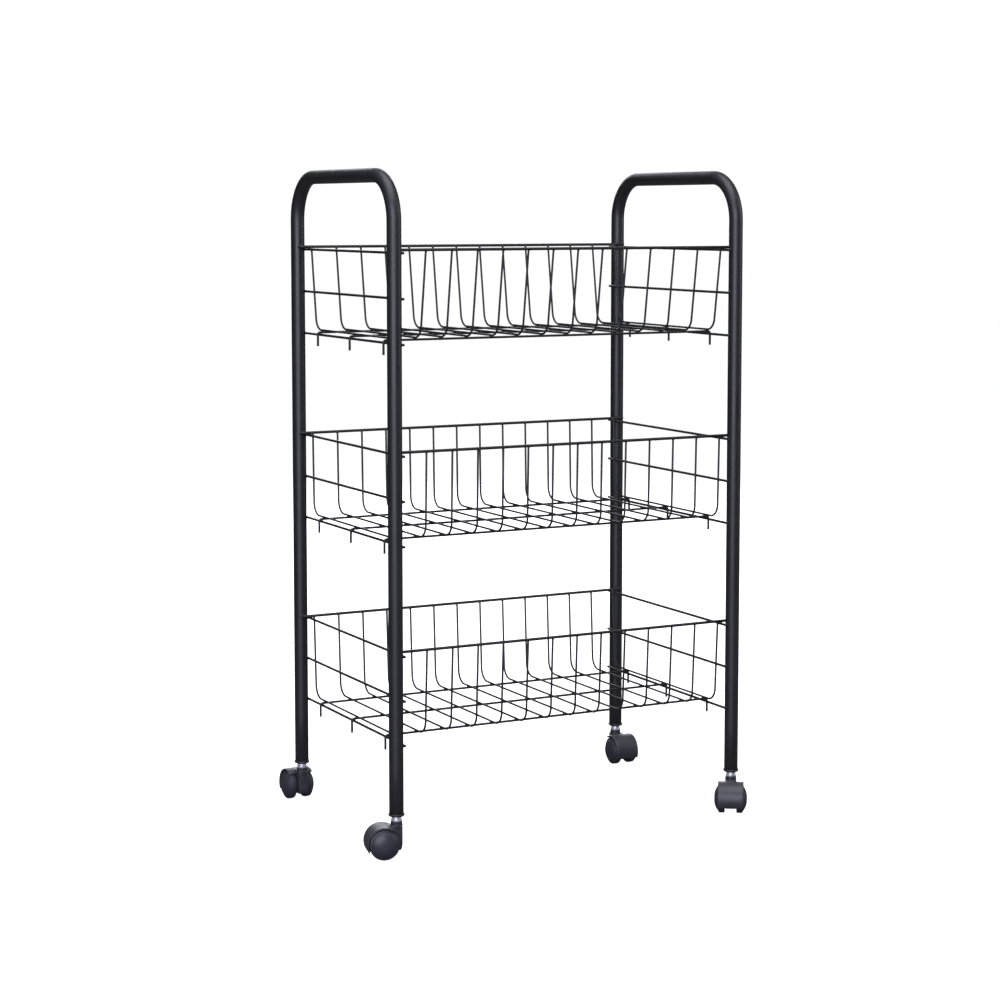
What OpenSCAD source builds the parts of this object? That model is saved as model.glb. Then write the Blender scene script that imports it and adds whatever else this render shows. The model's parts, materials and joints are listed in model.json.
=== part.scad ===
// Rolling utility cart: two bent-tube end frames, three wire baskets, four twin-wheel casters.
// Millimetres. +Z is up, +X runs along the baskets, -Y is the front.
// The origin is on the floor, midway between the four posts.

/* [Overall] */
// Distance between the post axes along the cart
frame_w = 512; // [360:1:700]
// Distance between the post axes from front to rear
frame_d = 320; // [240:1:480]
// Height of the handles above the floor
overall_h = 886; // [840:1:1100]

/* [End frames] */
// Outside diameter of the frame tube
tube_d = 19; // [16:0.5:25]
// Wall of the frame tube
tube_wall = 1.2; // [0.8:0.1:2]
// Bend radius of the handles, to the tube's centre line
bend_r = 58.5; // [40:0.5:90]

/* [Baskets] */
// Height of the lowest basket's rim wire above the floor
bottom_rim_z = 264.5; // [200:0.5:300]
// Height from one basket to the next
tier_pitch = 258.5; // [200:0.5:290]
// Depth of a basket, from the rim wire down to the lowest end rod
basket_depth = 120; // [60:1:150]
// Number of U-shaped cross wires in a basket
cross_count = 14; // [6:1:24]
// How far the long sides of the bottom, the middle and the top basket lean in on their way down
side_leans = [6, 3, 17]; // [0:1:30]
// Bend radius of a cross wire where a side meets the floor, to its centre line
corner_r = 18; // [8:1:30]
// Distance from a post axis plane to the outer floor wires
floor_wire_inset = 51; // [45:1:90]
// Length of the hooks at the ends of the floor wires
hook_drop = 19; // [8:1:40]
// How far the wires run past the post axes
wire_overhang = 4; // [0:0.5:9]

/* [Wires] */
// Diameter of the rim wires
rim_wire_d = 4; // [3:0.1:6]
// Diameter of the end rods
end_rod_d = 3.5; // [2.5:0.1:6]
// Diameter of the floor wires
floor_wire_d = 3.2; // [2:0.1:5]
// Diameter of the cross wires
cross_wire_d = 2.8; // [2:0.1:4]

/* [Casters] */
// Wheel diameter
wheel_d = 40; // [30:1:50]
// Distance from the swivel axis to the wheel axle
trail = 18; // [14:0.5:25]
// Gap between the two wheels of a caster
wheel_gap = 16; // [15:0.5:20]
// Width of a wheel over its tread, without its dome
tread_w = 9; // [6:0.5:14]
// Width of a caster over the wheels' domes
caster_w = 45.5; // [42:0.5:60]
// Diameter of the caster stem
stem_d = 8; // [6:0.5:10]
// Diameter of the stem's zinc collar
collar_d = 14; // [11:0.5:16]
// Height of the stem's collar
collar_h = 6.3; // [4:0.1:12]
// Diameter of the axle
axle_d = 5; // [4:0.5:6]
// Height of the caster's neck above the top of its hood
neck_rise = 4; // [2:0.5:10]
// Thickness of the mudguard
hood_wall = 1.7; // [1.2:0.1:3]
// Wall of a wheel
wheel_wall = 2.6; // [1.6:0.1:4]
// Directions in which the casters trail: front left, front right, rear left, rear right
trail_dirs = [166, 237, 92, 268]; // [0:1:359]

/* [Sockets] */
// How far the socket's lip stands out past the tube
lip_overhang = 1.2; // [0.4:0.1:3]
// Thickness of the socket's lip
lip_h = 3.5; // [2:0.5:6]
// Length of the socket inside the tube
socket_len = 34; // [24:1:60]

/* [Fits] */
// Radial clearance of what turns on the stem or the axle
running_gap = 0.05; // [0.02:0.01:0.1]
// Clearance between faces that pass each other
side_gap = 0.3; // [0.2:0.05:0.6]
// Clearance between a wheel's tread and its hood
hood_gap = 1.3; // [0.8:0.1:3]

/* [Hidden] */
$fn = 48;
tube_r = tube_d / 2;
tube_bore_r = tube_r - tube_wall;
rim_r = rim_wire_d / 2;
rod_r = end_rod_d / 2;
floor_r = floor_wire_d / 2;
cross_r = cross_wire_d / 2;

// end frames
post_x = frame_w / 2;
post_y = frame_d / 2;
arch_z = overall_h - tube_r;
bend_z = arch_z - bend_r;

// baskets: the rims touch the posts' inner sides, and the end rods touch them and pass under the rims
tiers = ["bottom", "middle", "top"];
rods_per_end = 3;
rim_y = post_y - tube_r - rim_r;
rod_x = post_x - tube_r - rod_r;
top_rod_drop = rim_r + rod_r;
rod_step = (basket_depth - top_rod_drop) / (rods_per_end - 1);
floor_wire_y = post_y - floor_wire_inset;
floor_wire_drop = basket_depth - rod_r - floor_r;
hook_r = rod_r + floor_r;
cross_x = rod_x - rod_r - cross_r;
cross_y = rim_y - rim_r - cross_r;
cross_drop = floor_wire_drop - floor_r - cross_r;
// a ball, hardly wider than the wire, joins each leaning side to its bend across a hair of a gap
knuckle_r = cross_r + 0.03;
knuckle_gap = 0.1;

// casters, each drawn about its swivel axis with the axle at +X, and then turned
corners = ["front_left", "front_right", "rear_left", "rear_right"];
wheel_r = wheel_d / 2;
stem_r = stem_d / 2;
axle_r = axle_d / 2;
hood_in_r = wheel_r + hood_gap;
hood_r = hood_in_r + hood_wall;
hood_top_z = wheel_r + hood_r;
neck_z = hood_top_z + neck_rise;
collar_z = neck_z + side_gap;
socket_z = collar_z + collar_h;
tube_end_z = socket_z + lip_h;
web_gap = 1;
web_w = wheel_gap - 2 * web_gap;
web_bottom_z = wheel_r / 2;
web_nose = 1.5;
web_front_r = hood_r + web_nose;
neck_r = wheel_gap / 2 - side_gap;
neck_foot_rise = 11;
neck_foot_z = wheel_r + neck_foot_rise;
block_inset = 0.6;
block_front = block_inset - neck_r;
guard_overhang = 0.9;
guard_w = wheel_gap + 2 * (tread_w + guard_overhang);
guard_low_angle = -25;
guard_sweep = 153;
stem_bottom_rise = 9;
stem_bottom_z = wheel_r + stem_bottom_rise;
stem_end_gap = 0.5;
socket_top_wall = 6;
stem_top_z = tube_end_z + socket_len - socket_top_wall;
grip_ring_h = 1.6;
grip_ring_w = 1;
grip_ring_drop = 6;
grip_ring_z = stem_top_z - grip_ring_drop;
grip_ring_sweep = 320;
dome_edge = wheel_gap / 2 + tread_w;
dome_h = caster_w / 2 - dome_edge;
dome_r = (pow(wheel_r, 2) + pow(dome_h, 2)) / (2 * dome_h);
hub_wall = 3.5;
hub_r = axle_r + hub_wall;
hub_face = web_w / 2 + side_gap;
// sockets
lip_r = tube_r + lip_overhang;
socket_edge = 0.9;
// a cut or a joined solid runs on by this much, so that no two faces are flush
past = 1;

frame_black = [0.09, 0.09, 0.1];
plastic_black = [0.14, 0.14, 0.17];
zinc = [0.75, 0.76, 0.78];
steel = [0.6, 0.6, 0.62];

// Height of a tier's rim wires
function rim_z(tier) = bottom_rim_z + tier * tier_pitch;

// Angle at which a tier's long sides lean in
function lean_angle(tier) = atan2(side_leans[tier], cross_drop);

// Length that the bend of a tier's cross wires takes from each of the two lines it joins
function corner_run(tier) = corner_r * tan((90 - lean_angle(tier)) / 2);

// Plan position of a corner's post
function post_at(c) = [c % 2 == 0 ? -post_x : post_x, c < 2 ? -post_y : post_y, 0];

// A straight wire along X, centred
module wire_x(length, r) {
    rotate([0, 90, 0]) cylinder(h = length, r = r, center = true);
}

// A straight wire along Y, centred
module wire_y(length, r) {
    rotate([90, 0, 0]) cylinder(h = length, r = r, center = true);
}

// Part of a ring of round stock in the YZ plane, from one angle through a sweep, measured from +Y to +Z
module bend_yz(radius, r, from, sweep) {
    rotate([90, 0, 90]) rotate([0, 0, from]) rotate_extrude(angle = sweep) translate([radius, 0]) circle(r);
}

// A solid inverted U of round stock: two legs, two bends and the grip between them
module hoop_stock(r, foot_z) {
    for (side = [0, 1]) mirror([0, side, 0]) {
        translate([0, post_y, foot_z]) cylinder(h = bend_z - foot_z, r = r);
        translate([0, post_y - bend_r, bend_z]) bend_yz(bend_r, r, 0, 90);
    }
    translate([0, 0, arch_z]) wire_y(frame_d - 2 * bend_r, r);
}

// One end frame: a bent tube that makes two posts and the push handle
module hoop(side) {
    color(frame_black) translate([side * post_x, 0, 0]) difference() {
        hoop_stock(tube_r, tube_end_z);
        hoop_stock(tube_bore_r, tube_end_z - past);
    }
}

// A rim wire, along the inner side of two posts
module rim(tier, side) {
    color(frame_black) translate([0, side * rim_y, rim_z(tier)]) wire_x(frame_w + 2 * wire_overhang, rim_r);
}

// The rods that close one end of a basket
module end_rods(tier, side) {
    color(frame_black)
    for (i = [0 : rods_per_end - 1])
        translate([side * rod_x, 0, rim_z(tier) - top_rod_drop - i * rod_step])
            wire_y(frame_d + 2 * wire_overhang, rod_r);
}

// One U-shaped wire: two leaning sides, two bends and a floor, in the plane X = 0, rim height at Z = 0
module cross_wire(tier) {
    lean = lean_angle(tier);
    leg = norm([side_leans[tier], cross_drop]) - corner_run(tier);
    flat_half = cross_y - side_leans[tier] - corner_run(tier);
    for (side = [0, 1]) mirror([0, side, 0]) {
        translate([0, cross_y, 0]) rotate([180 - lean, 0, 0]) cylinder(h = leg - knuckle_gap, r = cross_r);
        translate([0, flat_half, corner_r - cross_drop]) {
            bend_yz(corner_r, cross_r, -90, 90 - lean);
            translate([0, corner_r * cos(lean), -corner_r * sin(lean)]) sphere(knuckle_r);
        }
        translate([0, flat_half, -cross_drop]) rotate([90, 0, 0]) cylinder(h = flat_half, r = cross_r);
    }
}

// The row of cross wires of one basket
module cross_wires(tier) {
    color(frame_black)
    for (i = [0 : cross_count - 1])
        translate([-cross_x + 2 * cross_x * i / (cross_count - 1), 0, rim_z(tier)]) cross_wire(tier);
}

// One floor wire with a hook at each end that goes round the lowest end rod, at Y = 0
module floor_wire() {
    for (side = [0, 1]) mirror([side, 0, 0]) {
        translate([rod_x, 0, -hook_r]) rotate([0, 0, -90]) bend_yz(hook_r, floor_r, 0, 90);
        translate([rod_x + hook_r, 0, -hook_drop]) cylinder(h = hook_drop - hook_r, r = floor_r);
    }
    wire_x(2 * rod_x, floor_r);
}

// The floor wires of one basket
module floor_wires(tier) {
    color(frame_black)
    for (y = [-floor_wire_y, 0, floor_wire_y])
        translate([0, y, rim_z(tier) - floor_wire_drop]) floor_wire();
}

// Places and turns a caster's piece at its post
module at_corner(c) {
    translate(post_at(c)) rotate([0, 0, trail_dirs[c]]) children();
}

// A disc about the wheel axle, centred on the caster
module axle_disc(r, width) {
    translate([trail, 0, wheel_r]) rotate([90, 0, 0]) cylinder(h = width, r = r, center = true);
}

// Plastic socket that is pressed into the end of a post and holds the stem
module socket(c) {
    socket_top_z = tube_end_z + socket_len;
    color(plastic_black) translate(post_at(c)) rotate_extrude() polygon([
        [stem_r, socket_z],
        [lip_r - socket_edge, socket_z],
        [lip_r, socket_z + socket_edge],
        [lip_r, tube_end_z - socket_edge],
        [lip_r - socket_edge, tube_end_z],
        [tube_bore_r, tube_end_z],
        [tube_bore_r, socket_top_z - socket_edge],
        [tube_bore_r - socket_edge, socket_top_z],
        [stem_r, socket_top_z]
    ]);
}

// Steel stem with its zinc collar and a groove for the grip ring; the caster turns on its lower end
module stem(c) {
    color(zinc) translate(post_at(c)) {
        difference() {
            translate([0, 0, stem_bottom_z]) cylinder(h = stem_top_z - stem_bottom_z, r = stem_r);
            translate([0, 0, grip_ring_z]) difference() {
                cylinder(h = grip_ring_h, r = stem_r + past);
                translate([0, 0, -past]) cylinder(h = grip_ring_h + 2 * past, r = stem_r - grip_ring_w);
            }
        }
        translate([0, 0, collar_z]) cylinder(h = collar_h, d = collar_d);
    }
}

// Split spring ring round the stem that holds the caster in its socket
module grip_ring(c) {
    color(steel) translate(post_at(c)) translate([0, 0, grip_ring_z])
        rotate_extrude(angle = grip_ring_sweep)
            translate([stem_r - grip_ring_w, 0]) square([grip_ring_w, grip_ring_h]);
}

// Caster body: a web between the wheels, a mudguard over them and the neck for the stem
module hood(c) {
    color(plastic_black) at_corner(c) difference() {
        union() {
            difference() {
                union() {
                    axle_disc(hood_r, web_w);
                    intersection() {
                        axle_disc(web_front_r, web_w);
                        translate([-hood_r, -web_w / 2, 0]) cube([hood_r + past, web_w, hood_top_z]);
                    }
                    translate([block_front, -web_w / 2, wheel_r])
                        cube([trail - block_front, web_w, hood_top_z - wheel_r]);
                }
                translate([-hood_r - past, -web_w, -hood_r])
                    cube([trail + 2 * hood_r + 2 * past, 2 * web_w, web_bottom_z + hood_r]);
            }
            translate([trail, 0, wheel_r]) rotate([90, 0, 0]) rotate([0, 0, guard_low_angle])
                rotate_extrude(angle = guard_sweep)
                    translate([hood_in_r, -guard_w / 2]) square([hood_wall, guard_w]);
            translate([0, 0, neck_foot_z]) cylinder(h = neck_z - neck_foot_z, r = neck_r);
        }
        translate([0, 0, stem_bottom_z - stem_end_gap])
            cylinder(h = neck_z - stem_bottom_z + stem_end_gap + past, r = stem_r + running_gap);
        axle_disc(axle_r, caster_w);
    }
}

// Steel axle, pressed through the web
module axle(c) {
    color(steel) at_corner(c) axle_disc(axle_r, 2 * dome_edge);
}

// One domed wheel, hollow towards the web, with a blind hub that turns on the axle
module wheel(c, side) {
    inner = wheel_gap / 2;
    color(plastic_black) at_corner(c) translate([trail, 0, wheel_r]) rotate([side * 90, 0, 0]) difference() {
        union() {
            intersection() {
                translate([0, 0, inner]) cylinder(h = caster_w, r = wheel_r);
                translate([0, 0, dome_edge + dome_h - dome_r]) sphere(dome_r, $fn = 96);
            }
            translate([0, 0, hub_face]) cylinder(h = inner - hub_face + past, r = hub_r);
        }
        difference() {
            translate([0, 0, inner - past])
                cylinder(h = tread_w - wheel_wall + past, r = wheel_r - wheel_wall);
            translate([0, 0, hub_face - past]) cylinder(h = caster_w, r = hub_r);
        }
        translate([0, 0, hub_face - past])
            cylinder(h = dome_edge + side_gap - hub_face + past, r = axle_r + running_gap);
    }
}

hoop(-1);  // left_hoop
hoop(1);  // right_hoop
for (t = [0 : len(tiers) - 1]) {
    rim(t, -1);
    rim(t, 1);
    end_rods(t, -1);
    end_rods(t, 1);
    cross_wires(t);
    floor_wires(t);
}
for (c = [0 : len(corners) - 1]) {
    socket(c);
    stem(c);
    grip_ring(c);
    hood(c);
    axle(c);
    wheel(c, 1);
    wheel(c, -1);
}
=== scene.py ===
"""Rolling utility cart: the finished surfaces of two tube end frames, three wire baskets and four casters.

Everything is in metres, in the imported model's frame: +Z up, the floor at Z = 0, -Y the front long side.
Every surface is a grid worked out as whole arrays: round stock carried along a path, a profile turned about
an axis, or an outline carried along an arc or across a width.
"""

import json
import math
import bpy
import numpy as np
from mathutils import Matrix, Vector


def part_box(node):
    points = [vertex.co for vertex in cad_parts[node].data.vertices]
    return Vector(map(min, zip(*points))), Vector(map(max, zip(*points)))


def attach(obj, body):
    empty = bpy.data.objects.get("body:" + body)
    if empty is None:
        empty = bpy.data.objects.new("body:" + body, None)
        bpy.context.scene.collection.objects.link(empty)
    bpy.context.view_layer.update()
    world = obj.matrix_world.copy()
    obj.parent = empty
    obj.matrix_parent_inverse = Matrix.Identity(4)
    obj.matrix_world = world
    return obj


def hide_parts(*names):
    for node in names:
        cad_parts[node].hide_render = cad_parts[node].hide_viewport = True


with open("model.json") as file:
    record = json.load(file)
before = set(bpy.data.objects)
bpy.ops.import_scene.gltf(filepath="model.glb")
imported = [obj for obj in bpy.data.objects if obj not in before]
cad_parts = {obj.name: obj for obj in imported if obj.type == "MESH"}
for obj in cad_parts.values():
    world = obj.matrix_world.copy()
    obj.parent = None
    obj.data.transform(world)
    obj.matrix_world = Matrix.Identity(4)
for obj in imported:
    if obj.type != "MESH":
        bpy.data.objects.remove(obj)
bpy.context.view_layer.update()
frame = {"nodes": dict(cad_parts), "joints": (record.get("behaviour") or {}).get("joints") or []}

MM = 0.001
X, Y, Z = np.eye(3)
SHARP_ANGLE = math.radians(50)
TIERS = ("bottom", "middle", "top")
CORNERS = ("front_left", "front_right", "rear_left", "rear_right")

# end frame sizes that a node's box doesn't show
TUBE_WALL = 1.2 * MM
HANDLE_BEND = 58.5 * MM
BEND_SQUEEZE = 0.035
TUBE_SIDES = 64

# basket sizes
CROSS_COUNT = 14
FLOOR_WIRE_COUNT = 3
END_ROD_COUNT = 3
CROSS_R = 1.4 * MM
FLOOR_WIRE_R = 1.6 * MM
SIDE_LEANS = {"bottom": 6 * MM, "middle": 3 * MM, "top": 17 * MM}
CORNER_BEND = 18 * MM

# weld beads' radii: a small bead's long and short one, and the larger beads' along X, Y and Z
BEAD = 1.9 * MM
BEAD_THIN = 1.0 * MM
ROD_TO_POST_BEAD = (1.3 * MM, 4.2 * MM, 2.4 * MM)
RIM_TO_POST_BEAD = (4.2 * MM, 1.3 * MM, 2.6 * MM)

# caster sizes
STEM_R = 4 * MM
RUNNING_GAP = 0.05 * MM
SIDE_GAP = 0.3 * MM
PLUG_INSET = 2.4 * MM
NECK_RISE = 4 * MM
NECK_FOOT_RISE = 11 * MM
NECK_FLARE = 0.6 * MM
HOOD_WALL = 1.7 * MM
GUARD_HALF_WIDTH = 17.9 * MM
GUARD_ANGLES = (-25, 128)
WEB_GAP = 1 * MM
WEB_NOSE = 2 * MM
WEB_INSET = 0.3 * MM
BLOCK_FRONT = 7 * MM
TRAIL = 18 * MM
WHEEL_GAP = 16 * MM
TREAD_EDGE = 17 * MM
DOME_TIP = 22.75 * MM
WHEEL_WALL = 2.6 * MM
HUB_R = 6 * MM
HUB_FACE = 7.3 * MM
AXLE_R = 2.5 * MM


# ---------------------------------------------------------------- surfaces

def faces_of_rings(rows, cols, wrap_rows=False):
    """Quads between neighbouring rings of a grid whose columns close on themselves.

    The corners' grid places come with them, not wrapped, so that a UV map can use them."""
    row, col = np.meshgrid(np.arange(rows if wrap_rows else rows - 1), np.arange(cols), indexing="ij")
    corners = [np.stack([row, col], -1), np.stack([row, col + 1], -1),
               np.stack([row + 1, col + 1], -1), np.stack([row + 1, col], -1)]
    places = np.stack(corners, -2).reshape(-1, 4, 2)
    return (places[..., 0] % rows) * cols + places[..., 1] % cols, places


def ring_shape(points, along, wrap_rows=False, poles=None):
    """A closed surface of rings: points is (rows, cols, 3), and along is each row's distance along it.

    poles are the two points that close the first and the last ring, where the rows don't wrap round.
    UV is (share of a turn, distance)."""
    rows, cols = points.shape[:2]
    quads, places = faces_of_rings(rows, cols, wrap_rows)
    along = np.append(along, 2 * along[-1] - along[-2])
    quad_uv = np.stack([places[..., 1] / cols, along[places[..., 0]]], -1)
    verts = points.reshape(-1, 3)
    tris, tri_uv = np.zeros((0, 3), int), np.zeros((0, 3, 2))
    if poles is not None:
        here = np.arange(cols)
        there = (here + 1) % cols
        first, last = len(verts), len(verts) + 1
        verts = np.vstack([verts, poles])
        end = (rows - 1) * cols
        tris = np.vstack([np.stack([np.full(cols, first), there, here], -1),
                          np.stack([np.full(cols, last), end + here, end + there], -1)])
        turn = np.stack([here + 0.5, here + 1, here], -1) / cols
        level = np.repeat([[along[0]], [along[rows - 1]]], cols, 0)
        tri_uv = np.stack([np.vstack([turn, turn]), np.repeat(level, 3, 1)], -1)
    return verts, quads, tris, quad_uv, tri_uv


def merged(shapes):
    """Several shapes as one, with their face indices moved on."""
    starts = np.cumsum([0] + [len(s[0]) for s in shapes[:-1]])
    return (np.vstack([s[0] for s in shapes]),
            np.vstack([s[1] + start for s, start in zip(shapes, starts)]),
            np.vstack([s[2] + start for s, start in zip(shapes, starts)]),
            np.vstack([s[3] for s in shapes]),
            np.vstack([s[4] for s in shapes]))


def moved(shape, origin, axes=((1, 0, 0), (0, 1, 0), (0, 0, 1))):
    """The shape with its own X, Y and Z laid along the three axes, and then carried to origin."""
    return (shape[0] @ np.array(axes, float) + np.array(origin, float),) + shape[1:]


def arc(centre, radius, start, stop, u, v, steps=12):
    """Points centre + radius * (cos a * u + sin a * v), for a from start to stop in degrees."""
    a = np.radians(np.linspace(start, stop, steps + 1))[:, None]
    return np.array(centre) + radius * (np.cos(a) * u + np.sin(a) * v)


def path_length(points):
    """Distance along a path at each of its points."""
    return np.append(0, np.cumsum(np.linalg.norm(np.diff(points, axis=0), axis=1)))


def rounded(points, radius, steps=5):
    """A closed outline with every corner replaced by an arc of that radius, tangent to both of its sides."""
    p = np.array(points, float)
    back, on = np.roll(p, 1, 0) - p, np.roll(p, -1, 0) - p
    back /= np.linalg.norm(back, axis=1)[:, None]
    on /= np.linalg.norm(on, axis=1)[:, None]
    half = np.arccos(np.clip((back * on).sum(1), -1, 1)) / 2
    r = np.broadcast_to(radius, half.shape)
    middle = back + on
    middle /= np.linalg.norm(middle, axis=1)[:, None]
    centre = p + middle * (r / np.sin(half))[:, None]
    first = p + back * (r / np.tan(half))[:, None] - centre
    last = p + on * (r / np.tan(half))[:, None] - centre
    a0 = np.arctan2(first[:, 1], first[:, 0])
    turn = (np.arctan2(last[:, 1], last[:, 0]) - a0 + math.pi) % (2 * math.pi) - math.pi
    a = a0[:, None] + turn[:, None] * np.linspace(0, 1, steps + 1)
    arcs = centre[:, None] + r[:, None, None] * np.stack([np.cos(a), np.sin(a)], -1)
    return arcs.reshape(-1, 2)


def rings_along(path, radius, normal, sides, squeeze=0.0):
    """Circles carried along a path in one plane: centre + radius * (cos a * N + sin a * M), with M = T x N.

    squeeze flattens a circle towards the path's plane of bending and widens it half as much across."""
    tangent = np.gradient(path, axis=0)
    tangent /= np.linalg.norm(tangent, axis=1)[:, None]
    across = np.cross(tangent, normal)
    a = np.linspace(0, 2 * math.pi, sides, endpoint=False)
    radius = np.broadcast_to(radius, len(path))[:, None, None]
    squeeze = np.broadcast_to(squeeze, len(path))[:, None, None]
    return path[:, None] + radius * ((1 + squeeze / 2) * np.cos(a)[:, None] * normal
                                     + (1 - squeeze) * np.sin(a)[:, None] * across[:, None])


def rod(path, radius, normal, sides=20, edge=0.3, steps=3):
    """Solid round stock along a path, with flat ends whose edges are rounded by edge * radius."""
    path = np.array(path, float)
    bite = edge * radius
    a = np.linspace(0, math.pi / 2, steps + 1)
    head = (path[1] - path[0]) / np.linalg.norm(path[1] - path[0])
    tail = (path[-2] - path[-1]) / np.linalg.norm(path[-2] - path[-1])
    inset = (bite * (1 - np.cos(a)))[:, None]
    slope = radius - bite + bite * np.sin(a)
    centres = np.vstack([path[0] + inset * head, path[1:-1], (path[-1] + inset * tail)[::-1]])
    radii = np.concatenate([slope, np.full(len(path) - 2, radius), slope[::-1]])
    # the rounded ends are straight, so their circles take the tangent of the stretch that they end
    tangent = np.gradient(centres, axis=0)
    tangent[:steps + 1], tangent[-steps - 1:] = head, -tail
    tangent /= np.linalg.norm(tangent, axis=1)[:, None]
    turn = np.linspace(0, 2 * math.pi, sides, endpoint=False)[:, None]
    across = np.cross(tangent, normal)[:, None]
    points = centres[:, None] + radii[:, None, None] * (np.cos(turn) * normal + np.sin(turn) * across)
    return ring_shape(points, path_length(centres), poles=[path[0], path[-1]])


def turned(profile, sides=72, ring=True):
    """A profile of (radius, height) turned about Z, climbing on its outer side.

    A ring's profile is closed and off the axis. Any other profile starts and ends on the axis."""
    profile = np.array(profile, float)
    poles = None
    if not ring:
        poles = np.stack([np.zeros(2), np.zeros(2), profile[[0, -1], 1]], -1)
        profile = profile[1:-1]
    a = np.linspace(0, 2 * math.pi, sides, endpoint=False)
    r, h = profile[:, :1], profile[:, 1:]
    points = np.stack([r * np.cos(a), r * np.sin(a), h + 0 * a], -1)
    return ring_shape(points, path_length(profile), wrap_rows=ring, poles=poles)


def slab(outline, half_width, edge, steps=3):
    """A closed outline in XZ, turning from X to Z, carried across Y.

    Both rims are rounded: towards each face the outline shrinks about its centre."""
    a = np.linspace(0, math.pi / 2, steps + 1)
    y = np.concatenate([-half_width + edge * (1 - np.cos(a)), (half_width - edge * (1 - np.cos(a)))[::-1]])
    inset = np.concatenate([edge * (1 - np.sin(a)), (edge * (1 - np.sin(a)))[::-1]])
    centre = outline.mean(0)
    away = outline - centre
    reach = np.linalg.norm(away, axis=1)[:, None]
    shrunk = centre + away[None] * (1 - inset[:, None, None] / reach)
    across = np.broadcast_to(y[:, None], shrunk.shape[:2])
    points = np.stack([shrunk[..., 0], across, shrunk[..., 1]], -1)[:, ::-1]
    poles = [[centre[0], -half_width, centre[1]], [centre[0], half_width, centre[1]]]
    return ring_shape(points, path_length(np.stack([inset, y], -1)), poles=poles)


def beads(centres, radii, sides=12, levels=7):
    """Small weld beads: an ellipsoid with those three radii about each centre."""
    tilt = np.linspace(-math.pi / 2, math.pi / 2, levels + 2)[1:-1]
    profile = np.vstack([[0, -1], np.stack([np.cos(tilt), np.sin(tilt)], -1), [0, 1]])
    ball = turned(profile, sides, ring=False)
    return merged([((ball[0] * radii) + np.array(c),) + ball[1:] for c in centres])


# ---------------------------------------------------------------- pieces

def make_piece(name, shape, material, body, slot, *nodes):
    """One mesh object at the origin, its place in its mesh, that rides on a body and stands for the nodes."""
    verts, quads, tris, quad_uv, tri_uv = shape
    mesh = bpy.data.meshes.new(name)
    loops = np.concatenate([quads.ravel(), tris.ravel()])
    starts = np.concatenate([np.arange(len(quads)) * 4, len(quads) * 4 + np.arange(len(tris)) * 3])
    mesh.vertices.add(len(verts))
    mesh.vertices.foreach_set("co", verts.astype(np.float32).ravel())
    mesh.loops.add(len(loops))
    mesh.loops.foreach_set("vertex_index", loops.astype(np.int32))
    mesh.polygons.add(len(starts))
    mesh.polygons.foreach_set("loop_start", starts.astype(np.int32))
    mesh.update(calc_edges=True)
    mesh.validate()
    mesh.shade_smooth()
    mesh.set_sharp_from_angle(angle=SHARP_ANGLE)
    uv = mesh.uv_layers.new(name="surface")
    uv.data.foreach_set("uv", np.concatenate([quad_uv.ravel(), tri_uv.ravel()]).astype(np.float32))
    mesh.materials.append(material)
    piece = bpy.data.objects.new(name, mesh)
    bpy.context.scene.collection.objects.link(piece)
    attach(piece, body)
    if nodes:
        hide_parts(*nodes)


def box_of(node):
    """Lowest and highest corner of a node, as arrays."""
    low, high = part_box(node)
    return np.array(low), np.array(high)


# ---------------------------------------------------------------- finishes

def new_group(name, inputs, outputs):
    """An empty shader node group with float or vector inputs and float outputs, and its two end nodes."""
    group = bpy.data.node_groups.new(name, "ShaderNodeTree")
    for label, kind in inputs:
        group.interface.new_socket(name=label, in_out="INPUT", socket_type=kind)
    for label in outputs:
        group.interface.new_socket(name=label, in_out="OUTPUT", socket_type="NodeSocketFloat")
    return group, group.nodes.new("NodeGroupInput"), group.nodes.new("NodeGroupOutput")


def math_node(tree, operation, first, second, clamp=False):
    """A Math node whose two inputs are sockets or numbers. Returns its output."""
    node = tree.nodes.new("ShaderNodeMath")
    node.operation = operation
    node.use_clamp = clamp
    for socket, value in zip(node.inputs, (first, second)):
        if isinstance(value, (int, float)):
            socket.default_value = value
        else:
            tree.links.new(value, socket)
    return node.outputs[0]


def noise(tree, vector, scale, detail=2.0):
    """A Noise texture's value. scale is a socket or a number, in features per metre."""
    node = tree.nodes.new("ShaderNodeTexNoise")
    node.inputs["Detail"].default_value = detail
    tree.links.new(vector, node.inputs["Vector"])
    if isinstance(scale, (int, float)):
        node.inputs["Scale"].default_value = scale
    else:
        tree.links.new(scale, node.inputs["Scale"])
    return node.outputs["Fac"]


def coating_group():
    """Cured coating or moulded skin: a fine rippled height, and slow patches that vary colour and gloss."""
    inputs = [("Vector", "NodeSocketVector"), ("Ripple Scale", "NodeSocketFloat"),
              ("Patch Scale", "NodeSocketFloat")]
    group, start, end = new_group("coating", inputs, ["Height", "Patch"])
    vector = start.outputs["Vector"]
    ripple = noise(group, vector, start.outputs["Ripple Scale"], 1.0)
    grain = noise(group, vector, math_node(group, "MULTIPLY", start.outputs["Ripple Scale"], 4.7))
    height = math_node(group, "ADD", ripple, math_node(group, "MULTIPLY", grain, 0.3))
    group.links.new(height, end.inputs["Height"])
    group.links.new(noise(group, vector, start.outputs["Patch Scale"], 3.0), end.inputs["Patch"])
    return group


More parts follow.
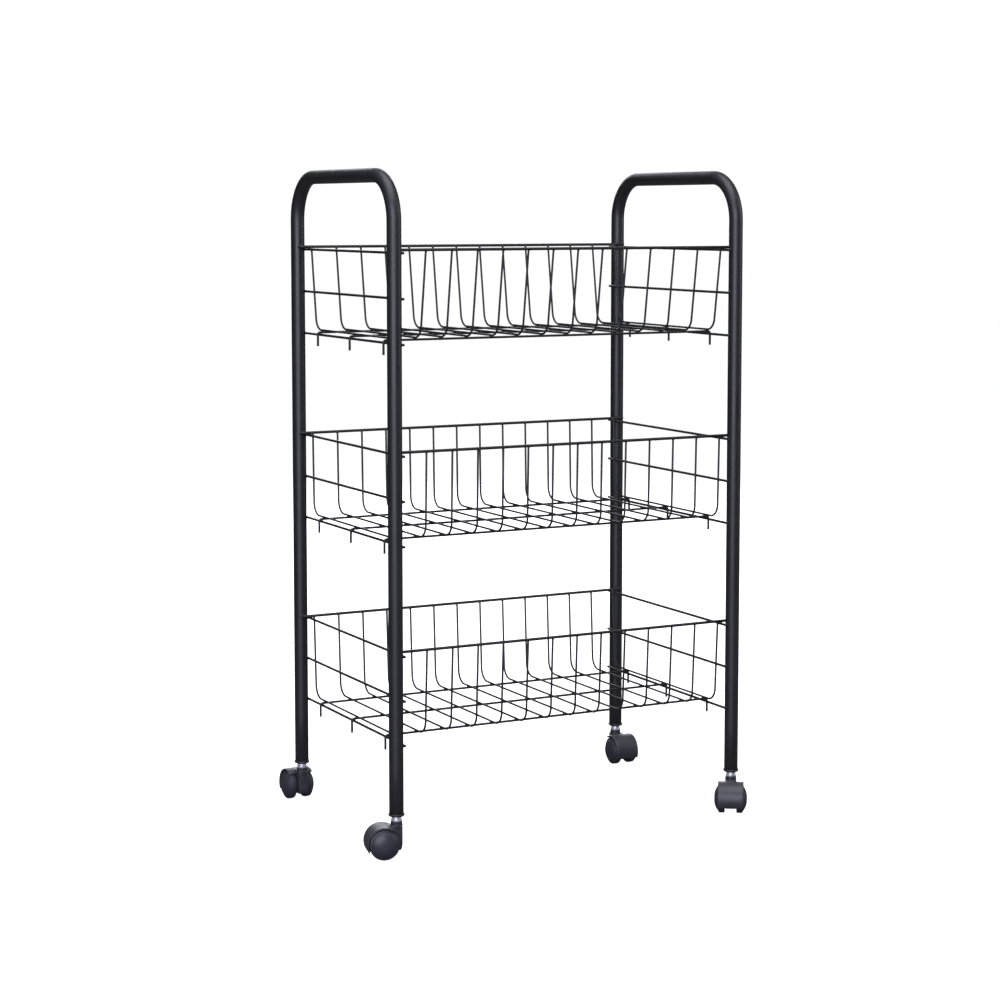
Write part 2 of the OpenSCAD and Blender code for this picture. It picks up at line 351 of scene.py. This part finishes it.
def dust_group():
    """Settled dust: strongest where the surface faces up, and broken up by two sizes of noise."""
    inputs = [("Vector", "NodeSocketVector"), ("Amount", "NodeSocketFloat")]
    group, start, end = new_group("settled_dust", inputs, ["Mask"])
    geometry = group.nodes.new("ShaderNodeNewGeometry")
    split = group.nodes.new("ShaderNodeSeparateXYZ")
    group.links.new(geometry.outputs["Normal"], split.inputs[0])
    up = math_node(group, "MULTIPLY", math_node(group, "MAXIMUM", split.outputs["Z"], 0.0), 0.8)
    facing = math_node(group, "ADD", up, 0.2)
    cloud = noise(group, start.outputs["Vector"], 28.0, 4.0)
    speck = noise(group, start.outputs["Vector"], 1500.0)
    broken = math_node(group, "MULTIPLY", cloud, math_node(group, "POWER", speck, 2.5))
    amount = math_node(group, "MULTIPLY", start.outputs["Amount"], 4.0)
    mask = math_node(group, "MULTIPLY", math_node(group, "MULTIPLY", broken, facing), amount, clamp=True)
    group.links.new(mask, end.inputs["Mask"])
    return group


def scuff_group():
    """Light scuffs: the few strongest crests of a noise that is drawn out along Z, gathered in patches."""
    inputs = [("Vector", "NodeSocketVector"), ("Scale", "NodeSocketFloat"), ("Amount", "NodeSocketFloat")]
    group, start, end = new_group("light_scuffs", inputs, ["Mask"])
    drawn = group.nodes.new("ShaderNodeVectorMath")
    drawn.operation = "MULTIPLY"
    drawn.inputs[1].default_value = (1, 1, 0.07)
    group.links.new(start.outputs["Vector"], drawn.inputs[0])
    strokes = noise(group, drawn.outputs[0], start.outputs["Scale"], 3.0)
    crest = math_node(group, "MULTIPLY", math_node(group, "SUBTRACT", strokes, 0.6), 9.0, clamp=True)
    wide = math_node(group, "MULTIPLY", start.outputs["Scale"], 0.04)
    cover = noise(group, start.outputs["Vector"], wide)
    spread = math_node(group, "MULTIPLY", math_node(group, "SUBTRACT", cover, 0.5), 6.0, clamp=True)
    mask = math_node(group, "MULTIPLY", math_node(group, "MULTIPLY", crest, spread), start.outputs["Amount"])
    group.links.new(mask, end.inputs["Mask"])
    return group


COATING = coating_group()
DUST = dust_group()
SCUFF = scuff_group()
SCUFF_SCALE = 700.0
DUST_COLOUR = (0.32, 0.31, 0.30)


def place_group(tree, group, vector, **values):
    """A group's node with its Vector linked and its other inputs set by name, with _ for a space."""
    node = tree.nodes.new("ShaderNodeGroup")
    node.node_tree = group
    tree.links.new(vector, node.inputs["Vector"])
    for label, value in values.items():
        node.inputs[label.replace("_", " ")].default_value = value
    return node.outputs


def mix(tree, factor, first, second):
    """A colour between two, by a factor socket. Each colour is a socket or three numbers."""
    node = tree.nodes.new("ShaderNodeMix")
    node.data_type = "RGBA"
    tree.links.new(factor, node.inputs["Factor"])
    for socket, value in zip((node.inputs[6], node.inputs[7]), (first, second)):
        if isinstance(value, (list, tuple)):
            socket.default_value = (*value, 1)
        else:
            tree.links.new(value, socket)
    return node.outputs[2]


def between(tree, factor, low, high):
    """A number from low to high as the factor goes from 0.3 to 0.7, the range of a noise."""
    node = tree.nodes.new("ShaderNodeMapRange")
    for label, value in (("From Min", 0.3), ("From Max", 0.7), ("To Min", low), ("To Max", high)):
        node.inputs[label].default_value = value
    tree.links.new(factor, node.inputs["Value"])
    return node.outputs["Result"]


def new_finish(name, colours, gloss, ripple, height, patch, dust=0.0, scuff=0.0, metal=0.0, coat=0.0,
               around=None):
    """A finish: two colours and two roughnesses that trade places in slow patches, a rippled skin of that
    height, and dust and scuffs over it.

    ripple and patch are in features per metre. around is the scale of turned lines, round and along the
    piece's own UV map, that take the ripple's place."""
    material = bpy.data.materials.new(name)
    material.use_nodes = True
    tree = material.node_tree
    shader = tree.nodes["Principled BSDF"]
    coordinates = tree.nodes.new("ShaderNodeTexCoord").outputs
    skin = place_group(tree, COATING, coordinates["Object"], Ripple_Scale=ripple, Patch_Scale=patch)
    colour = mix(tree, skin["Patch"], colours[0], colours[1])
    roughness = between(tree, skin["Patch"], *gloss)
    relief = skin["Height"]
    if around:
        stretch = tree.nodes.new("ShaderNodeMapping")
        stretch.inputs["Scale"].default_value = (around[0], around[1], 1)
        tree.links.new(coordinates["UV"], stretch.inputs["Vector"])
        relief = noise(tree, stretch.outputs["Vector"], 1.0, 3.0)
    if scuff:
        marks = place_group(tree, SCUFF, coordinates["Object"], Scale=SCUFF_SCALE, Amount=scuff)["Mask"]
        colour = mix(tree, marks, colour, [3 * c + 0.02 for c in colours[1]])
        roughness = math_node(tree, "ADD", roughness, math_node(tree, "MULTIPLY", marks, 0.25), clamp=True)
    if dust:
        settled = place_group(tree, DUST, coordinates["Object"], Amount=dust)["Mask"]
        colour = mix(tree, settled, colour, DUST_COLOUR)
        roughness = math_node(tree, "ADD", roughness, math_node(tree, "MULTIPLY", settled, 0.3), clamp=True)
    bump = tree.nodes.new("ShaderNodeBump")
    bump.inputs["Strength"].default_value = 1.0
    bump.inputs["Distance"].default_value = height
    tree.links.new(relief, bump.inputs["Height"])
    tree.links.new(colour, shader.inputs["Base Color"])
    tree.links.new(roughness, shader.inputs["Roughness"])
    tree.links.new(bump.outputs["Normal"], shader.inputs["Normal"])
    shader.inputs["Metallic"].default_value = metal
    shader.inputs["Coat Weight"].default_value = coat
    shader.inputs["Coat Roughness"].default_value = 0.3
    return material


tube_coat = new_finish(
    "satin_tube_coat", [(0.006, 0.006, 0.0075), (0.009, 0.009, 0.011)], gloss=(0.42, 0.52),
    ripple=800, height=0.012 * MM, patch=7.0, dust=0.10, scuff=0.35, coat=0.12)
wire_coat = new_finish(
    "satin_wire_coat", [(0.0055, 0.0055, 0.006), (0.008, 0.008, 0.009)], gloss=(0.45, 0.6),
    ripple=1100, height=0.01 * MM, patch=12.0, dust=0.12, scuff=0.25)
socket_nylon = new_finish(
    "socket_nylon", [(0.006, 0.006, 0.007), (0.010, 0.010, 0.012)], gloss=(0.4, 0.55),
    ripple=2200, height=0.01 * MM, patch=60.0, dust=0.3)
hood_nylon = new_finish(
    "hood_nylon", [(0.018, 0.0185, 0.024), (0.028, 0.029, 0.036)], gloss=(0.42, 0.55),
    ripple=2600, height=0.012 * MM, patch=70.0, dust=0.25, scuff=0.35, coat=0.1)
wheel_nylon = new_finish(
    "wheel_nylon", [(0.016, 0.017, 0.025), (0.024, 0.025, 0.034)], gloss=(0.42, 0.54),
    ripple=2000, height=0.008 * MM, patch=80.0, dust=0.2, scuff=0.3, coat=0.1)
zinc_plate = new_finish(
    "zinc_plate", [(0.82, 0.83, 0.86), (0.93, 0.94, 0.96)], gloss=(0.28, 0.42),
    ripple=900, height=0.02 * MM, patch=160.0, metal=0.75, around=(3.0, 9000.0))
drawn_steel = new_finish(
    "drawn_steel", [(0.45, 0.45, 0.47), (0.58, 0.58, 0.60)], gloss=(0.25, 0.4),
    ripple=900, height=0.02 * MM, patch=200.0, metal=1.0, around=(3.0, 6000.0))


# ---------------------------------------------------------------- end frames

def hoop_path(x, post_y, foot_z, grip_z):
    """Centre line of an end frame: up one post, over the handle's two bends, and down the other post."""
    bend_z = grip_z - HANDLE_BEND
    inner = post_y - HANDLE_BEND
    post_rings, bend_steps = 14, 36
    up = np.linspace([x, -post_y, foot_z], [x, -post_y, bend_z], post_rings)[:-1]
    first = arc([x, -inner, bend_z], HANDLE_BEND, 180, 90, Y, Z, bend_steps)
    second = arc([x, inner, bend_z], HANDLE_BEND, 90, 0, Y, Z, bend_steps)
    down = np.linspace([x, post_y, bend_z], [x, post_y, foot_z], post_rings)[1:]
    return np.vstack([up, first, second, down])


def hoop(side):
    """A hollow bent tube: rings up the outside and back down the bore, a little squeezed in the bends."""
    low, high = box_of(f"{side}_hoop")
    radius = (high[0] - low[0]) / 2
    x, post_y, grip_z = (low[0] + high[0]) / 2, high[1] - radius, high[2] - radius
    path = hoop_path(x, post_y, low[2], grip_z)
    in_bend = np.clip((path[:, 2] - (grip_z - HANDLE_BEND)) / HANDLE_BEND, 0, 1)
    squeeze = BEND_SQUEEZE * np.sin(math.pi * in_bend) ** 2
    foot_edge = 0.3 * MM
    chamfered = path.copy()
    chamfered[[0, -1], 2] += foot_edge
    outside = rings_along(chamfered, radius, X, TUBE_SIDES, squeeze)
    bore = rings_along(path, radius - TUBE_WALL, X, TUBE_SIDES, squeeze)[::-1]
    lips = rings_along(path, radius - foot_edge, X, TUBE_SIDES)
    points = np.concatenate([lips[:1], outside, lips[-1:], bore])
    return ring_shape(points, path_length(points[:, 0]), wrap_rows=True)


for side in ("left", "right"):
    make_piece(f"{side}_end_frame", hoop(side), tube_coat, "frame", "tube_powder_coat", f"{side}_hoop")


# ---------------------------------------------------------------- baskets

def straight(node):
    """The straight rod or wire that fills a node's box, along the box's longest side."""
    low, high = box_of(node)
    size = high - low
    axis = int(np.argmax(size))
    middle = (low + high) / 2
    half = np.eye(3)[axis] * size[axis] / 2
    return rod([middle - half, middle + half], np.delete(size, axis).max() / 2, Z)


def wire_piece(name, shape, *nodes):
    """A piece of a basket: coated wire, welded to the frame."""
    make_piece(name, shape, wire_coat, "frame", "wire_powder_coat", *nodes)


def end_rods(node):
    """The rods of one end, evenly spaced from the top of the node's box to its foot.

    Their X, radius and heights come with them."""
    low, high = box_of(node)
    radius = (high[0] - low[0]) / 2
    x = (low[0] + high[0]) / 2
    heights = np.linspace(high[2] - radius, low[2] + radius, END_ROD_COUNT)
    shapes = [rod([[x, low[1], z], [x, high[1], z]], radius, Z) for z in heights]
    return merged(shapes), x, radius, heights


def cross_wire_path(x, rim_z, side_y, floor_z, lean_in):
    """A U: one half runs down a leaning side and round a bend to the floor, and the other half mirrors it."""
    lean = math.atan2(lean_in, rim_z - floor_z)
    run = CORNER_BEND * math.tan((math.pi / 2 - lean) / 2)
    flat = side_y - lean_in - run
    top = [[x, side_y, rim_z]]
    bend = arc([x, flat, floor_z + CORNER_BEND], CORNER_BEND, -math.degrees(lean), -90, Y, Z)
    half = np.vstack([top, bend])
    return np.vstack([half, (half * [1, -1, 1])[::-1]])


def floor_wire_path(y, z, rod_x, wrap, tip_z):
    """A floor wire, and a hook at each end that goes over the lowest end rod and down."""
    hook = np.vstack([[[rod_x + wrap, y, tip_z]], arc([rod_x, y, z - wrap], wrap, 0, 90, X, Z, 10)])
    return np.vstack([hook, (hook * [-1, 1, 1])[::-1]])


def basket(tier):
    """One basket's wires, and the weld beads wherever two of them, or a wire and a post, touch."""
    rim_low, rim_high = box_of(f"{tier}_front_rim")
    rim_r = (rim_high[2] - rim_low[2]) / 2
    rim_y, rim_z = abs(rim_low[1] + rim_r), rim_low[2] + rim_r
    post_low, post_high = box_of("right_hoop")
    tube_r = (post_high[0] - post_low[0]) / 2
    post_x, post_y = (post_low[0] + post_high[0]) / 2, post_high[1] - tube_r

    for side in ("front", "rear"):
        wire_piece(f"{tier}_{side}_rim_wire", straight(f"{tier}_{side}_rim"), f"{tier}_{side}_rim")
    for side in ("left", "right"):
        rods, rod_x, rod_r, heights = end_rods(f"{tier}_{side}_end_rods")
        wire_piece(f"{tier}_{side}_rods", rods, f"{tier}_{side}_end_rods")

    low, high = box_of(f"{tier}_cross_wires")
    side_y = rim_y - rim_r - CROSS_R
    cross_z = low[2] + CROSS_R
    places = np.linspace(low[0] + CROSS_R, high[0] - CROSS_R, CROSS_COUNT)
    paths = [cross_wire_path(x, rim_z, side_y, cross_z, SIDE_LEANS[tier]) for x in places]
    cross_wires = merged([rod(path, CROSS_R, X) for path in paths])
    wire_piece(f"{tier}_basket_wires", cross_wires, f"{tier}_cross_wires")

    low, high = box_of(f"{tier}_floor_wires")
    floor_z = high[2] - FLOOR_WIRE_R
    wrap = rod_r + FLOOR_WIRE_R
    rows = np.linspace(low[1] + FLOOR_WIRE_R, high[1] - FLOOR_WIRE_R, FLOOR_WIRE_COUNT)
    paths = [floor_wire_path(y, floor_z, rod_x, wrap, low[2]) for y in rows]
    floor_wires = merged([rod(path, FLOOR_WIRE_R, Y) for path in paths])
    wire_piece(f"{tier}_hooked_wires", floor_wires, f"{tier}_floor_wires")

    both = (-1, 1)
    lean = SIDE_LEANS[tier] / (rim_z - cross_z)
    on_rims = [[x, s * (rim_y - rim_r), rim_z - rim_r / 2] for x in places for s in both]
    on_floor = [[x, y, floor_z + FLOOR_WIRE_R] for x in places for y in rows]
    under_rims = [[s * rod_x, t * rim_y, rim_z - rim_r] for s in both for t in both]
    on_ends = [[s * (rod_x - rod_r), t * (side_y - lean * (rim_z - z)), z]
               for s in both for t in both for z in heights[:-1]]
    on_hooks = [[s * rod_x, y, heights[-1] + rod_r] for s in both for y in rows]
    rods_to_posts = [[s * (post_x - tube_r), t * post_y, z] for s in both for t in both for z in heights]
    rims_to_posts = [[s * post_x, t * (post_y - tube_r), rim_z] for s in both for t in both]
    # a small bead is thin in the direction from one wire to the other
    thin_x, thin_y, thin_z = (BEAD_THIN, BEAD, BEAD), (BEAD, BEAD_THIN, BEAD), (BEAD, BEAD, BEAD_THIN)
    welds = [beads(on_rims, thin_y), beads(on_floor, thin_z), beads(under_rims, thin_z),
             beads(on_ends, thin_x), beads(on_hooks, thin_z),
             beads(rods_to_posts, ROD_TO_POST_BEAD), beads(rims_to_posts, RIM_TO_POST_BEAD)]
    wire_piece(f"{tier}_weld_beads", merged(welds))


for tier in TIERS:
    basket(tier)


# ---------------------------------------------------------------- casters

def caster_frame(corner):
    """From a caster's joints: the foot of its swivel axis, its axle's centre, the way it trails, and the
    direction of its axle."""
    joints = {j["name"]: j for j in frame["joints"]}
    swivel = np.array(joints[f"swivel_{corner}"]["pos_m"]) * [1, 1, 0]
    axle = np.array(joints[f"roll_a_{corner}"]["pos_m"])
    trailing = (axle - swivel) * [1, 1, 0]
    trailing /= np.linalg.norm(trailing)
    return swivel, axle, trailing, np.cross(Z, trailing)


def socket_shape(node):
    """Plug with a rounded lip under the tube: a ring turned about the post."""
    low, high = box_of(node)
    lip_r = (high[0] - low[0]) / 2
    lip_top = box_of("left_hoop")[0][2]
    plug_r = lip_r - PLUG_INSET
    profile = [[STEM_R, low[2]], [lip_r - 1.5 * MM, low[2]], [lip_r, low[2] + 1.2 * MM], [lip_r, lip_top],
               [plug_r, lip_top], [plug_r, high[2]], [STEM_R, high[2]]]
    radii = np.array([0.2, 1.0, 1.2, 0.7, 0.2, 0.8, 0.2]) * MM
    return turned(rounded(profile, radii))


def stem_shape(node, collar_low, collar_high):
    """Round stem with a stepped collar: a flange over the hood's neck and a narrower shoulder above it."""
    low, high = box_of(node)
    flange_r = (high[0] - low[0]) / 2
    shoulder_r = flange_r - 0.7 * MM
    step_z = collar_low + 2.6 * MM
    profile = [[0, low[2]], [STEM_R, low[2]], [STEM_R, collar_low], [flange_r, collar_low],
               [flange_r, step_z], [shoulder_r, step_z + 0.5 * MM], [shoulder_r, collar_high],
               [STEM_R, collar_high], [STEM_R, high[2]], [0, high[2]]]
    radii = np.array([0.01, 0.5, 0.2, 0.6, 0.5, 0.3, 0.5, 0.2, 0.8, 0.01]) * MM
    steps = 4
    # of the two corners on the axis, only the points where the ends' flats start and stop are used
    return turned(rounded(profile, radii, steps)[steps:-steps], ring=False)


def guard_shape(inner_r, outer_r, half_width, low_angle, high_angle):
    """Mudguard: a bent strip with rounded edges, carried round the axle in XZ, with rounded ends."""
    thick = outer_r - inner_r
    lip, shoulder = 0.5 * MM, 2.2 * MM
    corners = [[inner_r, -half_width], [outer_r - lip, -half_width], [outer_r, -half_width + shoulder],
               [outer_r, half_width - shoulder], [outer_r - lip, half_width], [inner_r, half_width]]
    section = rounded(corners, np.array([0.35, 0.6, 2.5, 2.5, 0.6, 0.35]) * MM, 4)
    steps, end_steps = 56, 4
    taper = math.degrees(thick / outer_r) * 0.5
    first_end = low_angle + taper * (1 - np.cos(np.linspace(0, math.pi / 2, end_steps)))
    last_end = high_angle - taper * (1 - np.cos(np.linspace(math.pi / 2, 0, end_steps)))
    middle_angles = np.linspace(low_angle + taper, high_angle - taper, steps)
    a = np.radians(np.concatenate([first_end[:-1], middle_angles, last_end[1:]]))
    middle = np.array([(inner_r + outer_r) / 2, 0])
    swell = 0.45 + 0.5 * np.sin(np.linspace(0, math.pi / 2, end_steps))[:-1]
    grow = np.concatenate([swell, np.ones(steps), swell[::-1]])
    narrow = 1 - (1 - grow) * thick / half_width / 2
    sections = middle + (section - middle) * np.stack([grow, narrow], -1)[:, None]
    radius, y = sections[..., 0], sections[..., 1]
    points = np.stack([radius * np.cos(a)[:, None], y, radius * np.sin(a)[:, None]], -1)
    poles = [points[0].mean(0), points[-1].mean(0)]
    return ring_shape(points, path_length(points[:, 0]), poles=poles)


def web_outline(nose_r, back_r, foot, top, front):
    """Side view of the web about the axle: an arc behind the axle, the block's top and front, an arc down the
    nose, and a flat foot. The block's upper corner and the two ends of the foot are rounded."""
    back_end, nose_start = 88, 176
    back = arc([0, 0, 0], back_r, math.degrees(math.asin(foot / back_r)), back_end, X, Z, 24)
    nose = arc([0, 0, 0], nose_r, nose_start, 180 - math.degrees(math.asin(foot / nose_r)), X, Z, 8)
    block = np.array([[front, 0, top]])
    outline = np.vstack([back, block, nose])[:, [0, 2]]
    radii = np.full(len(outline), 0.01 * MM)
    radii[[0, -1]] = 0.8 * MM
    radii[len(back)] = 2.2 * MM
    return rounded(outline, radii)


def neck_shape(top_z, foot_z, radius, flare_z, flare):
    """Neck round the stem: a tube with a rolled top edge that flares out where it meets the mudguard."""
    bore = STEM_R + RUNNING_GAP
    mouth = 1.2 * MM
    steps = 4
    a = np.linspace(0, math.pi / 2, 8)
    sweep = np.stack([radius + flare * (1 - np.sin(a)), flare_z + flare * 1.2 * (1 - np.cos(a))], -1)
    top = rounded([[radius - 0.3 * MM, top_z - 1.8 * MM], [radius, top_z - 1.5 * MM], [radius, top_z],
                   [bore + mouth, top_z], [bore, top_z - mouth]], 0.4 * MM, steps)
    # the first and last corner only lead into the rolled edge, and are left out
    profile = np.vstack([[[bore, foot_z], [radius, foot_z], [radius, flare_z - 1.5 * MM]], sweep,
                         top[steps + 1:-steps - 1]])
    return turned(profile)


def wheel_shape(radius):
    """Domed wheel about Z, outwards: hub, recess, rounded tread, a shadow groove and a shallow dome."""
    bore = AXLE_R + RUNNING_GAP
    bore_end = TREAD_EDGE + 0.2 * MM
    floor = TREAD_EDGE - WHEEL_WALL
    groove_r = radius - 2.3 * MM
    cap_r = groove_r - 0.5 * MM
    cap_z = TREAD_EDGE + 0.7 * MM
    corners = [[radius - WHEEL_WALL, WHEEL_GAP / 2], [radius, WHEEL_GAP / 2], [radius, TREAD_EDGE - 0.6 * MM],
               [groove_r, TREAD_EDGE + 0.15 * MM], [groove_r - 0.2 * MM, TREAD_EDGE - 0.45 * MM],
               [cap_r, TREAD_EDGE - 0.3 * MM], [cap_r, cap_z], [cap_r - 6 * MM, cap_z + 1 * MM]]
    # the last corner only sets the cap's slope, and is left out with half of the arc before it
    rim = rounded(corners, np.array([0.8, 1.6, 2.0, 0.3, 0.12, 0.12, 0.6, 0.5]) * MM)[:-9]
    edge = rim[-1]
    climb = np.linspace(0, 1, 14)[:, None]
    dome = np.hstack([edge[0] * (1 - climb), edge[1] + (DOME_TIP - edge[1]) * (1 - (1 - climb) ** 2.8)])
    inside = [[0, bore_end], [bore, bore_end], [bore, HUB_FACE], [HUB_R, HUB_FACE], [HUB_R, floor],
              [radius - WHEEL_WALL, floor]]
    return turned(np.vstack([inside, rim, dome[1:]]), 96, ring=False)


def hood_shape(swivel, axle, trailing, across, neck_top):
    """Hood: mudguard and web about the axle, and the neck about the stem."""
    wheel_r = axle[2]
    hood_top = neck_top - NECK_RISE
    hood_r = hood_top - wheel_r
    guard = guard_shape(hood_r - HOOD_WALL, hood_r, GUARD_HALF_WIDTH, *GUARD_ANGLES)
    web_r = hood_r - WEB_INSET
    outline = web_outline(hood_r + WEB_NOSE, web_r, -wheel_r / 2, web_r, -TRAIL - BLOCK_FRONT)
    web = slab(outline, WHEEL_GAP / 2 - WEB_GAP, 0.8 * MM)
    neck_foot = wheel_r + NECK_FOOT_RISE
    neck = neck_shape(neck_top, neck_foot, WHEEL_GAP / 2 - SIDE_GAP, hood_top - NECK_FLARE, NECK_FLARE)
    axes = (trailing, across, Z)
    return merged([moved(guard, axle, axes), moved(web, axle, axes), moved(neck, swivel, axes)])


def caster(corner):
    """Socket, stem, hood, axle and the two wheels of one corner."""
    swivel, axle, trailing, across = caster_frame(corner)
    socket, stem, hood = f"socket_{corner}", f"stem_{corner}", f"hood_{corner}"
    neck_top = box_of(hood)[1][2]
    collar_low, collar_high = neck_top + SIDE_GAP, box_of(socket)[0][2]

    shape = moved(socket_shape(socket), swivel)
    make_piece(f"{corner}_socket", shape, socket_nylon, "frame", "socket_plastic", socket)
    shape = moved(stem_shape(stem, collar_low, collar_high), swivel)
    make_piece(f"{corner}_stem", shape, zinc_plate, "frame", "zinc_plate", stem)
    shape = hood_shape(swivel, axle, trailing, across, neck_top)
    make_piece(f"{corner}_hood", shape, hood_nylon, f"caster_{corner}", "caster_plastic", hood)

    for name, sign in (("a", -1), ("b", 1)):
        out = sign * across
        shape = moved(wheel_shape(axle[2]), axle, (np.cross(Z, out), Z, out))
        wheel = f"wheel_{name}_{corner}"
        make_piece(f"{corner}_wheel_{name}", shape, wheel_nylon, wheel, "wheel_plastic", wheel)
    for node in (f"axle_{corner}", f"grip_ring_{corner}"):
        steel_part = frame["nodes"][node]
        steel_part.data.materials.clear()
        steel_part.data.materials.append(drawn_steel)


for corner in CORNERS:
    caster(corner)


# ---------------------------------------------------------------- studio

def studio():
    """Plain pale floor, soft lights in front, overhead and behind, and a backdrop that gloss sees dimmed."""
    mesh = bpy.data.meshes.new("floor")
    reach = 20
    mesh.from_pydata([(-reach, -reach, 0), (reach, -reach, 0), (reach, reach, 0), (-reach, reach, 0)],
                     [], [(0, 1, 2, 3)])
    floor = bpy.data.objects.new("floor", mesh)
    bpy.context.scene.collection.objects.link(floor)
    paint = bpy.data.materials.new("floor_paint")
    paint.use_nodes = True
    tree = paint.node_tree
    shader = tree.nodes["Principled BSDF"]
    ray = tree.nodes.new("ShaderNodeLightPath").outputs["Is Camera Ray"]
    tree.links.new(mix(tree, ray, (0.16, 0.16, 0.17), (0.9, 0.9, 0.9)), shader.inputs["Base Color"])
    tree.links.new(math_node(tree, "MULTIPLY", ray, 0.95), shader.inputs["Emission Strength"])
    shader.inputs["Emission Color"].default_value = (1, 1, 1, 1)
    shader.inputs["Roughness"].default_value = 0.95
    shader.inputs["Specular IOR Level"].default_value = 0.0
    mesh.materials.append(paint)

    world = bpy.data.worlds.new("studio")
    world.use_nodes = True
    tree = world.node_tree
    ray = tree.nodes.new("ShaderNodeLightPath").outputs["Is Camera Ray"]
    backdrop = tree.nodes["Background"]
    tree.links.new(mix(tree, ray, (0.07, 0.074, 0.085), (1.05, 1.05, 1.05)), backdrop.inputs["Color"])
    bpy.context.scene.world = world

    target = Vector((0, 0, 0.45))
    for name, place, size, power, tint in (
            ("key", (-2.1, -2.7, 1.25), (2.6, 2.3), 118, (0.83, 0.84, 1.0)),
            ("side", (2.6, -1.2, 1.4), (0.8, 2.0), 18, (1, 1, 1)),
            ("top", (-0.3, -0.4, 2.8), (2.2, 2.2), 55, (0.9, 0.9, 1.0)),
            ("rear", (1.2, 3.2, 1.6), (2.2, 1.8), 60, (0.9, 0.9, 1.0))):
        light = bpy.data.lights.new(name, "AREA")
        light.shape = "RECTANGLE"
        light.size, light.size_y = size
        light.energy = power
        light.color = tint
        lamp = bpy.data.objects.new(name, light)
        lamp.location = place
        lamp.rotation_euler = (target - Vector(place)).to_track_quat("-Z", "Y").to_euler()
        bpy.context.scene.collection.objects.link(lamp)


def camera():
    """A long lens from the front left, a little above the middle of the cart and tipped down slightly."""
    data = bpy.data.cameras.new("camera")
    data.sensor_width = 36
    data.lens = 81.8
    data.shift_x = -0.0022
    data.shift_y = -0.08
    data.clip_end = 60
    eye = bpy.data.objects.new("camera", data)
    eye.location = (-1.4529, -2.7749, 0.8311)
    eye.rotation_euler = (math.radians(90 - 5.263), 0, math.radians(-27.314))
    bpy.context.scene.collection.objects.link(eye)
    bpy.context.scene.camera = eye


studio()
camera()
bpy.context.scene.view_settings.view_transform = "Standard"
